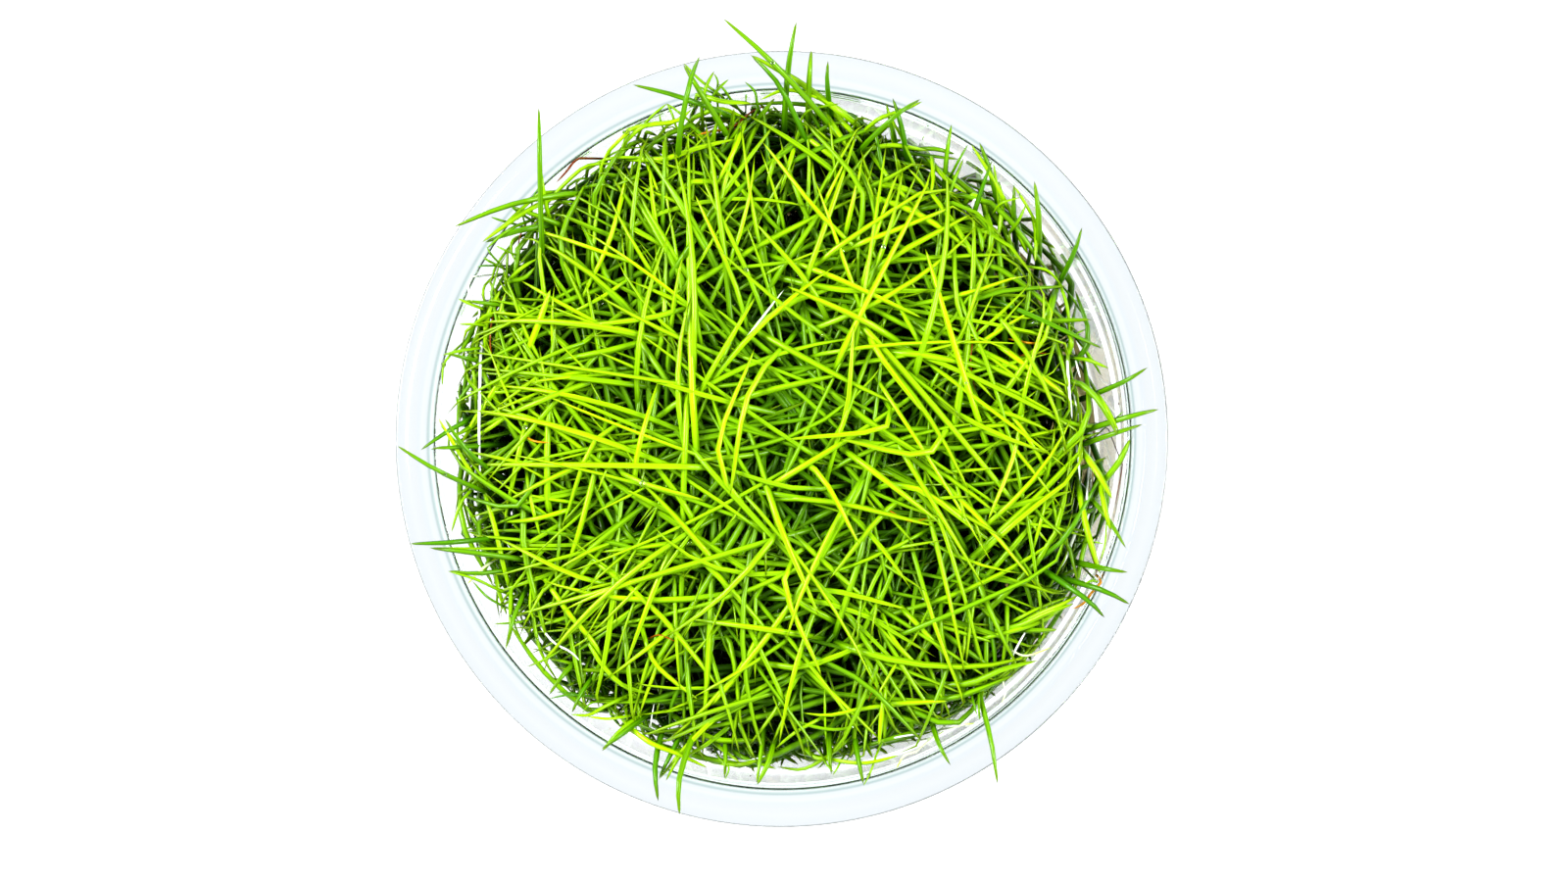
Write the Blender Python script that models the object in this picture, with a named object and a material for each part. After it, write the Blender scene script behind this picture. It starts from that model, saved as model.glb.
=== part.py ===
"""Needle spikerush grown in an in vitro cup, as Blender solids.

A clear thin-walled cup holds a slab of nutrient gel. The plant stands in the gel as many small tufts of
needle leaves, and its longest leaves lie over the brim. Lengths are in metres, +Z is up, and the origin
is the centre of the cup's flat underside.
"""

import math
import random

import bmesh
import bpy
import numpy as np
from mathutils import Matrix, Vector

MM = 0.001

# The cup
BRIM_RADIUS = 47.5 * MM
CUP_HEIGHT = 58.0 * MM
WALL = 0.7 * MM
BRIM_THICKNESS = 0.9 * MM
BRIM_EDGE = 0.3 * MM
MOUTH_RADIUS = 42.1 * MM
MOUTH_ROUND = 0.8 * MM
UNDER_BRIM_CHAMFER = 0.7 * MM
NECK_DRAFT = 0.75 * MM
LEDGE_HEIGHT = 47.8 * MM
LEDGE_RISE = 0.8 * MM
LEDGE_STEP = 0.45 * MM
FOOT_RADIUS = 37.2 * MM
FOOT_ROUND = 3.0 * MM
RIB_RADIUS = 45.4 * MM
RIB_WIDTH = 1.2 * MM
RIB_HEIGHT = 0.25 * MM
TURN_STEPS = 40

NECK_FOOT_RADIUS = MOUTH_RADIUS - NECK_DRAFT
LEDGE_RADIUS = NECK_FOOT_RADIUS - LEDGE_STEP
LEDGE_TOP = LEDGE_HEIGHT + LEDGE_RISE

# Solids that rest on each other keep this gap.
GAP = 0.3 * MM

# The gel, whose skin climbs the wall a little
GEL_TOP = 13.0 * MM
GEL_CREEP_HEIGHT = 0.6 * MM
GEL_CREEP_WIDTH = 1.5 * MM

# The crowns that the leaves grow from
TUFTS = 33
LEAVES_PER_TUFT = 8
PLANTED_RADIUS = 33.5 * MM
GOLDEN_ANGLE = math.pi * (3 - math.sqrt(5))
CROWN_FOOT_RADIUS = 2.2 * MM
CROWN_TOP_RADIUS = 1.8 * MM
CROWN_HEIGHT = 2.0 * MM
CROWN_PEAK = 0.6 * MM
CROWN_FOOT = GEL_TOP + GAP

# A leaf has a three-sided section. Its base facet is followed by four rings and a tip.
LEAF_RADIUS = 0.55 * MM
RING_RADII = (1.0, 0.95, 0.85, 0.62)
BASE_RADIUS = 1.0 * MM
LEAF_CLEARANCE = 0.15 * MM
WALL_CLEARANCE = 0.5 * MM

# How a leaf inside the cup grows: each stretch's share of its length, and its lean from upright in degrees.
# The wall holds the leaves in, and they lie over at the height where the lid pressed them down.
STRETCH_SHARES = (0.17, 0.21, 0.21, 0.21, 0.20)
STRETCH_TILTS = (8.0, 13.0, 26.0, 52.0, 80.0)
SHORTEST_LEAF = 54.0 * MM
LONGEST_LEAF = 76.0 * MM
SWARD_TOP = 64.0 * MM
SWARD_SHOULDER = 58.0 * MM
SHORTEST_STRETCH_SHARE = 0.45
LEAF_TRIES = 40
STRETCH_TRIES = 14
SEED = 7

# The leaves that lie on or over the brim, in millimetres: the tip's x and y, the knee's x and y where
# the leaf turns outwards, and the tip's height above the brim. They run clockwise from the back.
BRIM_LEAVES = (
    (2.7, 50.5, 0.7, 40.0, 5.5),
    (4.3, 47.3, 4.6, 42.1, 3.0),
    (6.5, 45.7, 6.3, 41.7, 5.0),
    (13.3, 40.8, 14.7, 36.7, 1.5),
    (14.2, 41.3, 16.6, 36.0, 3.0),
    (17.5, 41.2, 12.4, 37.3, 2.0),
    (21.3, 38.2, 20.3, 32.7, 1.6),
    (24.7, 35.9, 27.3, 30.6, 2.0),
    (26.3, 33.6, 24.2, 27.4, 3.2),
    (28.9, 30.9, 28.7, 26.7, 1.3),
    (31.4, 31.1, 33.2, 22.3, 2.5),
    (37.2, 25.4, 35.8, 18.7, 3.5),
    (45.1, 8.4, 40.4, 4.7, 4.0),
    (46.4, 3.4, 40.8, 2.1, 2.0),
    (44.4, 1.6, 40.5, 0.3, 1.2),
    (42.4, -13.4, 38.8, -6.2, 2.0),
    (42.7, -16.3, 38.0, -15.7, 4.0),
    (42.9, -20.2, 38.2, -16.4, 2.5),
    (39.8, -21.8, 37.4, -17.2, 1.5),
    (27.0, -41.9, 26.2, -31.1, 4.5),
    (21.2, -39.7, 18.4, -35.4, 3.0),
    (10.6, -42.1, 9.5, -35.8, 2.5),
    (6.6, -40.9, 5.9, -36.3, 1.5),
    (-2.5, -42.1, -1.5, -37.3, 2.0),
    (-6.5, -41.5, -5.7, -36.8, 1.5),
    (-14.5, -41.5, -10.9, -34.8, 2.0),
    (-11.6, -45.8, -12.9, -37.1, 5.0),
    (-14.4, -44.2, -16.1, -34.7, 3.5),
    (-21.4, -37.9, -16.7, -34.8, 3.0),
    (-25.3, -33.6, -23.4, -28.9, 1.4),
    (-28.1, -31.4, -25.4, -26.9, 1.5),
    (-33.2, -25.4, -31.7, -18.1, 2.5),
    (-40.4, -16.2, -33.5, -18.1, 2.0),
    (-44.9, -12.9, -32.0, -12.9, 4.5),
    (-42.7, -13.4, -33.6, -14.0, 2.5),
    (-46.2, -0.9, -35.3, -8.0, 6.0),
    (-43.9, -1.4, -37.1, 3.3, 2.2),
    (-42.2, -1.2, -36.5, -1.2, 3.5),
    (-40.6, 2.4, -35.6, -6.3, 4.0),
    (-40.8, 10.5, -36.2, 9.3, 2.0),
    (-38.8, 17.0, -34.3, 16.3, 1.6),
    (-36.1, 24.1, -27.6, 27.7, 1.5),
    (-39.5, 25.9, -22.5, 33.6, 4.0),
    (-32.9, 28.5, -27.3, 26.7, 1.6),
    (-28.7, 40.3, -26.9, 27.4, 6.5),
    (-17.5, 43.1, -3.6, 40.0, 4.0),
    (-11.4, 45.6, -7.2, 39.5, 3.0),
    (-9.5, 46.7, -10.9, 38.3, 2.2),
    (-3.1, 46.7, 5.9, 40.3, 3.5),
    (-6.0, 50.7, 7.0, 40.2, 8.0),
)
BRIM_LEAF_STATIONS = (0.0, 0.22, 0.46, 0.70, 0.87, 1.0)
BRIM_LEAF_TRIES = 80
BRIM_LEAF_ROOTS = 8


def clear_scene():
    for old in list(bpy.data.objects):
        bpy.data.objects.remove(old)


def new_material(name, colour, roughness, alpha=1.0):
    material = bpy.data.materials.new(name)
    material.use_nodes = True
    shader = material.node_tree.nodes["Principled BSDF"]
    shader.inputs["Base Color"].default_value = (*colour, 1.0)
    shader.inputs["Roughness"].default_value = roughness
    shader.inputs["Metallic"].default_value = 0.0
    shader.inputs["Alpha"].default_value = alpha
    return material


def new_object(name, bm, material):
    mesh = bpy.data.meshes.new(name)
    bm.to_mesh(mesh)
    bm.free()
    mesh.materials.append(material)
    obj = bpy.data.objects.new(name, mesh)
    bpy.context.scene.collection.objects.link(obj)
    return obj


# Turned pieces


def arc(centre_r, centre_z, radius, start, end, steps=2):
    """Points (r, z) along an arc between two angles in degrees, counted from outwards to upwards."""
    angles = [math.radians(start + (end - start) * i / steps) for i in range(steps + 1)]
    return [(centre_r + radius * math.cos(a), centre_z + radius * math.sin(a)) for a in angles]


def turned(name, profile, material):
    """A solid of revolution: its profile starts and ends on the axis and runs up the outside."""
    bm = bmesh.new()
    verts = [bm.verts.new((r, 0, z)) for r, z in profile]
    edges = [bm.edges.new(pair) for pair in zip(verts, verts[1:])]
    bmesh.ops.spin(
        bm, geom=verts + edges, cent=(0, 0, 0), axis=(0, 0, 1), angle=2 * math.pi, steps=TURN_STEPS
    )
    bmesh.ops.remove_doubles(bm, verts=bm.verts, dist=0.001 * MM)
    bmesh.ops.recalc_face_normals(bm, faces=bm.faces)
    obj = new_object(name, bm, material)
    obj.data.shade_smooth()
    obj.data.set_sharp_from_angle(angle=math.radians(30))
    return obj


def cup_profile():
    foot_corner = (FOOT_RADIUS - FOOT_ROUND, FOOT_ROUND)
    under_brim = CUP_HEIGHT - BRIM_THICKNESS
    outside = [
        (0, 0),
        *arc(*foot_corner, FOOT_ROUND, -90, 0),
        (LEDGE_RADIUS + WALL, LEDGE_HEIGHT),
        (NECK_FOOT_RADIUS + WALL, LEDGE_TOP),
        (MOUTH_RADIUS + WALL, under_brim - UNDER_BRIM_CHAMFER),
        (MOUTH_RADIUS + WALL + UNDER_BRIM_CHAMFER, under_brim),
    ]
    brim = [
        (BRIM_RADIUS, under_brim),
        (BRIM_RADIUS, CUP_HEIGHT - BRIM_EDGE),
        (BRIM_RADIUS - BRIM_EDGE, CUP_HEIGHT),
        (RIB_RADIUS + RIB_WIDTH / 2, CUP_HEIGHT),
        (RIB_RADIUS, CUP_HEIGHT + RIB_HEIGHT),
        (RIB_RADIUS - RIB_WIDTH / 2, CUP_HEIGHT),
    ]
    inside = [
        *arc(MOUTH_RADIUS + MOUTH_ROUND, CUP_HEIGHT - MOUTH_ROUND, MOUTH_ROUND, 90, 180),
        (NECK_FOOT_RADIUS, LEDGE_TOP),
        (LEDGE_RADIUS, LEDGE_HEIGHT),
        *arc(*foot_corner, FOOT_ROUND - WALL, 0, -90),
        (0, WALL),
    ]
    return outside + brim + inside


def inner_radius(z):
    """The cup's inner radius at a height between the foot's corner and the brim."""
    heights = (FOOT_ROUND, LEDGE_HEIGHT, LEDGE_TOP, CUP_HEIGHT)
    radii = (FOOT_RADIUS - WALL, LEDGE_RADIUS, NECK_FOOT_RADIUS, MOUTH_RADIUS)
    return float(np.interp(z, heights, radii))


def gel_profile():
    creep_top = GEL_TOP + GEL_CREEP_HEIGHT
    edge_radius = inner_radius(creep_top) - GAP
    return [
        (0, WALL + GAP),
        *arc(FOOT_RADIUS - FOOT_ROUND, FOOT_ROUND, FOOT_ROUND - WALL - GAP, -90, 0),
        (edge_radius, creep_top),
        (edge_radius - GEL_CREEP_WIDTH, GEL_TOP),
        (0, GEL_TOP),
    ]


# Leaf paths


def segment_distances(start, end, starts, ends):
    """The shortest distance from one segment to each of many."""
    along, others = end - start, ends - starts
    between = start - starts
    aa, bb = along @ along, np.einsum("ij,ij->i", others, others)
    ab, ac, bc = others @ along, between @ along, np.einsum("ij,ij->i", others, between)
    slack = aa * bb - ab**2
    s = np.clip((ab * bc - ac * bb) / np.maximum(slack, 1e-18), 0, 1)
    t = np.clip((ab * s + bc) / bb, 0, 1)
    s = np.clip((ab * t - ac) / aa, 0, 1)
    nearest = between + s[:, None] * along - t[:, None] * others
    return np.linalg.norm(nearest, axis=1)


class Sward:
    """The crowns and leaf stretches that are already in place, which a new leaf keeps clear of."""

    def __init__(self):
        self.starts, self.ends, self.radii, self.tufts, self.at_base = [], [], [], [], []

    def add(self, start, end, radius, tuft, at_base):
        self.starts.append(start)
        self.ends.append(end)
        self.radii.append(radius)
        self.tufts.append(tuft)
        self.at_base.append(at_base)

    def has_room(self, start, end, radius, tuft, at_base):
        """A leaf's own tuft is left out where the leaves leave the crown side by side."""
        own = np.array(self.tufts) == tuft
        skipped = own & (np.array(self.at_base) | at_base)
        distances = segment_distances(start, end, np.array(self.starts), np.array(self.ends))
        needed = np.array(self.radii) + radius + LEAF_CLEARANCE
        return bool((skipped | (distances > needed)).all())

    def takes(self, path, tuft):
        """Adds the whole leaf if all of its stretches have room."""
        stretches = list(zip(path[:-1], path[1:], stretch_radii(), strict=True))
        for i, (start, end, radius) in enumerate(stretches):
            if not self.has_room(start, end, radius, tuft, i == 0):
                return False
        for i, (start, end, radius) in enumerate(stretches):
            self.add(start, end, radius, tuft, i == 0)
        return True


def stretch_radii():
    return [BASE_RADIUS] + [LEAF_RADIUS * share for share in RING_RADII]


def crown_places():
    """Crowns planted on a golden-angle spiral, each turned its own way: (x, y, turn)."""
    places = []
    for i in range(TUFTS):
        reach = PLANTED_RADIUS * math.sqrt((i + 0.5) / TUFTS)
        angle = i * GOLDEN_ANGLE
        places.append((reach * math.cos(angle), reach * math.sin(angle), 2.4 * angle))
    return places


def facet_bearing(place, facet):
    return place[2] + (facet + 0.5) * 2 * math.pi / LEAVES_PER_TUFT


def leaf_root(place, facet):
    """The middle of one facet of a crown's pointed top."""
    bearing = facet_bearing(place, facet)
    out = CROWN_TOP_RADIUS * math.cos(math.pi / LEAVES_PER_TUFT) * 2 / 3
    z = CROWN_FOOT + CROWN_HEIGHT + CROWN_PEAK / 3
    return np.array((place[0] + out * math.cos(bearing), place[1] + out * math.sin(bearing), z))


def pressed_in(point, slack):
    """The point pulled in to the wall if it lies past it, and down under the sward's low dome."""
    limit = inner_radius(point[2]) - LEAF_RADIUS - WALL_CLEARANCE - slack
    reach = math.hypot(point[0], point[1])
    inwards = min(1.0, limit / reach)
    dome = SWARD_TOP - (SWARD_TOP - SWARD_SHOULDER) * (reach * inwards / MOUTH_RADIUS) ** 2
    return np.array((point[0] * inwards, point[1] * inwards, min(point[2], dome - slack)))


def grown_path(sward, rng, place, tuft, facet):
    """A leaf inside the cup, which bends over as it rises and feels its way between the others."""
    length = rng.uniform(SHORTEST_LEAF, LONGEST_LEAF)
    for attempt in range(LEAF_TRIES):
        path = [leaf_root(place, facet)]
        bearing = facet_bearing(place, facet) + math.radians(rng.uniform(-12, 12))
        lean = rng.uniform(0.75, 1.2)
        turn = math.radians(rng.gauss(0, 14))
        for share, tilt, radius in zip(STRETCH_SHARES, STRETCH_TILTS, stretch_radii(), strict=True):
            bearing += turn
            step = free_step(sward, rng, path[-1], bearing, tilt * lean, length * share, radius, tuft)
            if step is None:
                break
            path.append(step)
        if len(path) == len(STRETCH_SHARES) + 1:
            return path
        length *= 0.97
    return None


def free_step(sward, rng, start, bearing, tilt, length, radius, tuft):
    for attempt in range(STRETCH_TRIES):
        spread = math.radians(3 + 3 * attempt)
        lean = math.radians(tilt) + rng.gauss(0, spread / 2)
        heading = bearing + rng.gauss(0, spread)
        across = math.sin(lean)
        step = (across * math.cos(heading), across * math.sin(heading), math.cos(lean))
        end = pressed_in(start + length * np.array(step), rng.uniform(0, 2.5) * MM)
        long_enough = math.dist(start, end) > SHORTEST_STRETCH_SHARE * length
        if long_enough and sward.has_room(start, end, radius, tuft, radius == BASE_RADIUS):
            return end
    return None


def bezier(controls, t):
    """The point at t on a cubic curve through its first and last control points."""
    a, b, c, d = controls
    u = 1 - t
    return u**3 * a + 3 * u * u * t * b + 3 * u * t * t * c + t**3 * d


def clears_cup(path):
    """Whether each stretch of a leaf passes the wall inside or passes over the brim."""
    over_brim = CUP_HEIGHT + RIB_HEIGHT + GAP + LEAF_RADIUS
    for start, end in zip(path, path[1:]):
        for t in np.linspace(0, 1, 9):
            point = start + t * (end - start)
            reach = math.hypot(point[0], point[1])
            inside = reach < inner_radius(point[2]) - LEAF_RADIUS - GAP
            if not inside and point[2] < over_brim:
                return False
    return True


def brim_path(rng, root, row, attempt):
    """A leaf that climbs from its root, turns outwards at its knee and ends over the brim."""
    tip = np.array((row[0] * MM, row[1] * MM, CUP_HEIGHT + row[4] * MM))
    knee = np.array((row[2] * MM, row[3] * MM, tip[2] + (3 + 0.25 * attempt) * MM))
    sway = rng.uniform(-2, 2) * attempt / 10
    rise = root + np.array((0.15 * (knee[0] - root[0]), 0.15 * (knee[1] - root[1]), 0.028))
    rise[:2] += sway * MM
    return [bezier((root, rise, knee, tip), t) for t in BRIM_LEAF_STATIONS]


def root_for(row, places, free):
    """The free facets, nearest first, that face a leaf's knee from behind."""
    knee = np.array(row[2:4]) * MM
    outwards = knee - np.array(row[:2]) * MM
    wanted = knee + outwards / np.linalg.norm(outwards) * 7 * MM
    wanted *= min(1.0, PLANTED_RADIUS / np.linalg.norm(wanted))
    choices = []
    for tuft, facet in free:
        root = leaf_root(places[tuft], facet)
        bearing = facet_bearing(places[tuft], facet)
        towards = math.atan2(knee[1] - root[1], knee[0] - root[0])
        turned_away = 1 - math.cos(bearing - towards)
        choices.append((math.dist(wanted, root[:2]) + turned_away * 5 * MM, tuft, facet))
    return [(tuft, facet) for _, tuft, facet in sorted(choices)]


def plan_leaves():
    """The path of each tuft's leaves, by tuft and facet: the brim's leaves first, then the rest."""
    rng = random.Random(SEED)
    places = crown_places()
    sward = Sward()
    for tuft, (x, y, _) in enumerate(places):
        foot, top = np.array((x, y, CROWN_FOOT)), np.array((x, y, CROWN_FOOT + CROWN_HEIGHT))
        sward.add(foot, top, CROWN_FOOT_RADIUS, tuft, True)
    free = [(tuft, facet) for facet in range(LEAVES_PER_TUFT) for tuft in range(TUFTS)]
    paths = {}
    for row in BRIM_LEAVES:
        roots = root_for(row, places, free)
        for attempt in range(BRIM_LEAF_TRIES):
            tuft, facet = roots[attempt % BRIM_LEAF_ROOTS]
            path = brim_path(rng, leaf_root(places[tuft], facet), row, attempt)
            if clears_cup(path) and sward.takes(path, tuft):
                paths[tuft, facet] = path
                free.remove((tuft, facet))
                break
        else:
            print("no room for the brim leaf", row)
    for tuft, facet in free:
        path = grown_path(sward, rng, places[tuft], tuft, facet)
        if path is not None and sward.takes(path, tuft):
            paths[tuft, facet] = path
        else:
            print("no room for the leaf", tuft, facet)
    return places, paths


# Tufts


def grow_leaf(bm, facet, path):
    """Draws one facet of a crown out along a leaf's path and closes it in a point."""
    peak = max(facet.verts, key=lambda vert: vert.co.z)
    order = list(facet.verts)
    order = order[order.index(peak) :] + order[: order.index(peak)]
    points = [Vector(point) for point in path]
    heading = facet.normal.copy()
    upper = (peak.co - facet.calc_center_median()).normalized()
    for i, share in enumerate(RING_RADII, 1):
        ahead = (points[i] - points[i - 1]).normalized() + (points[i + 1] - points[i]).normalized()
        upper.rotate(heading.rotation_difference(ahead))
        heading = ahead.normalized()
        side = upper.cross(heading)
        facet = bmesh.ops.extrude_discrete_faces(bm, faces=[facet])["faces"][0]
        start = [vert.co.copy() for vert in facet.verts].index(order[0].co)
        for corner in range(3):
            angle = math.radians(90 + 120 * corner)
            spoke = side * math.cos(angle) + upper * math.sin(angle)
            facet.verts[(start + corner) % 3].co = points[i] + spoke * LEAF_RADIUS * share
        order = [facet.verts[(start + corner) % 3] for corner in range(3)]
    tip = bmesh.ops.poke(bm, faces=[facet])["verts"][0]
    tip.co = points[-1]


def tuft_object(name, place, paths, material):
    """A crown whose pointed top has a facet for each leaf."""
    bm = bmesh.new()
    x, y, turn = place
    middle = Matrix.Translation((x, y, CROWN_FOOT + CROWN_HEIGHT / 2)) @ Matrix.Rotation(turn, 4, "Z")
    bmesh.ops.create_cone(
        bm,
        cap_ends=True,
        segments=LEAVES_PER_TUFT,
        radius1=CROWN_FOOT_RADIUS,
        radius2=CROWN_TOP_RADIUS,
        depth=CROWN_HEIGHT,
        matrix=middle,
    )
    top = max(bm.faces, key=lambda face: face.calc_center_median().z)
    facets = bmesh.ops.poke(bm, faces=[top], offset=CROWN_PEAK)["faces"]
    bm.normal_update()
    for facet in facets:
        centre = facet.calc_center_median()
        bearing = math.atan2(centre.y - y, centre.x - x) - turn
        number = int(bearing % (2 * math.pi) / (2 * math.pi) * LEAVES_PER_TUFT)
        if number in paths:
            grow_leaf(bm, facet, paths[number])
    bm.normal_update()
    return new_object(name, bm, material)


def main():
    clear_scene()
    clear_cup = new_material("clear_cup", (0.90, 0.95, 1.0), 0.05, alpha=0.25)
    agar_gel = new_material("agar_gel", (0.86, 0.83, 0.68), 0.25, alpha=0.8)
    leaf = new_material("leaf", (0.22, 0.52, 0.01), 0.4)
    turned("cup", cup_profile(), clear_cup)
    turned("agar_gel", gel_profile(), agar_gel)
    places, paths = plan_leaves()
    for tuft, place in enumerate(places):
        own = {facet: path for (owner, facet), path in paths.items() if owner == tuft}
        tuft_object(f"spikerush_tuft_{tuft + 1:02d}", place, own, leaf)


main()
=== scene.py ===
import math
import random

import bpy
import numpy as np
from mathutils import Matrix, Vector


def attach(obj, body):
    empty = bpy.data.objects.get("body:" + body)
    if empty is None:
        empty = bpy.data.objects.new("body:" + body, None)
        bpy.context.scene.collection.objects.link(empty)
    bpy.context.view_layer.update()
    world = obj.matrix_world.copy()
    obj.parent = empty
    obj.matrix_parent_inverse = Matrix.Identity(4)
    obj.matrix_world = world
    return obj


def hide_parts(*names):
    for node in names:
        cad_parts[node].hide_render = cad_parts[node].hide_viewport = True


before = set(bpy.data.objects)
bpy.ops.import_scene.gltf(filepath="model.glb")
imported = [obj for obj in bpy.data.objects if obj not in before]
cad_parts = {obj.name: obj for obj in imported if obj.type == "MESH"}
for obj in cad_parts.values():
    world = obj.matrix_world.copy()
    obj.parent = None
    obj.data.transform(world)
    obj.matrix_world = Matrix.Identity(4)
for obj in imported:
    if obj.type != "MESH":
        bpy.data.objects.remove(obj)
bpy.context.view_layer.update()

MM = 0.001

# The cup, as its solid has it, with finer rounds
BRIM_RADIUS = 47.5 * MM
CUP_HEIGHT = 58.0 * MM
WALL = 0.7 * MM
BRIM_THICKNESS = 0.9 * MM
BRIM_EDGE_ROUND = 0.3 * MM
MOUTH_RADIUS = 42.1 * MM
MOUTH_ROUND = 0.8 * MM
UNDER_BRIM_ROUND = 0.7 * MM
NECK_FOOT_RADIUS = 41.35 * MM
LEDGE_RADIUS = 40.9 * MM
LEDGE_HEIGHT = 47.8 * MM
LEDGE_TOP = 48.6 * MM
FOOT_RADIUS = 37.2 * MM
FOOT_ROUND = 3.0 * MM
RIB_RADIUS = 45.4 * MM
RIB_WIDTH = 1.6 * MM
RIB_HEIGHT = 0.15 * MM
CUP_STEPS = 192

# Painted refraction lines across the round mouth, and a grey-blue tint across the brim, partly the
# plastic's own and partly painted shade, at shares of the way from 41 to 48 mm from the axis
BRIM_TINT_AND_PAINTED_LINES = (
    (0.15, "#F4F8F8"), (0.19, "#B8CCC6"), (0.225, "#CED8D6"), (0.262, "#A4BEB6"), (0.30, "#C6D2D0"),
    (0.354, "#A4B4B4"), (0.39, "#C8CED0"), (0.46, "#CCD0D2"), (0.52, "#C6CCD0"), (0.60, "#C8CCCE"),
    (0.72, "#CACED0"), (0.90, "#C6CBCE"),
)

# The gel, which sets against the wall and creeps up it
GEL_TOP = 13.0 * MM
GEL_CREEP_HEIGHT = 0.6 * MM
GEL_CREEP_WIDTH = 1.5 * MM
GEL_GAP = 0.3 * MM

# The sward
SWARD_TOP = 64.0 * MM
SWARD_SHOULDER = 58.0 * MM
LYING_LEAVES = 44
SHORT_LEAVES = 14
WALL_LEAVES = 420
LEANING_LEAVES = 300
DEW_DROPS = 90
TUFT_SPREAD = 5.4 * MM
LEAF_RADIUS = 0.78 * MM
FULLNESS = 1.3
SEED = 11

# Heights and widths of a needle leaf's rings, as shares of its length and half width
NEEDLE_RINGS = (
    (0.0, 0.70), (0.16, 0.85), (0.30, 0.95), (0.42, 1.0), (0.52, 1.0), (0.60, 1.0), (0.67, 1.0),
    (0.74, 0.97), (0.80, 0.92), (0.86, 0.83), (0.915, 0.67), (0.965, 0.42), (1.0, 0.0),
)
NEEDLE_SIDES = 5

# The camera, which stands where the photograph's did, and how wide a strip it sees at the brim
RIM_VIEW_WIDTH = 191.7 * MM
CAMERA_PLACE = Vector((58.65 * MM, -11.3 * MM, CUP_HEIGHT + 600 * MM))
CAMERA_AIM = Vector((0.65 * MM, -0.32 * MM, CUP_HEIGHT))
CAMERA_BACK = (CAMERA_PLACE - CAMERA_AIM).normalized()
CAMERA_RIGHT = Vector((0, 1, 0)).cross(CAMERA_BACK).normalized()
CAMERA_UP = CAMERA_BACK.cross(CAMERA_RIGHT)

# In the photograph's 1600 by 900 pixels: the cup's middle, how many there are to a mm at the brim, and
# how far from the middle a leaf's tip has passed the mouth
PHOTOGRAPH_WIDTH = 1600
PHOTOGRAPH_MIDDLE = (800, 450)
CUP_MIDDLE = (794.6, 447.3)
PIXELS_PER_MM = 8.348
OVER_BRIM = 344
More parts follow.
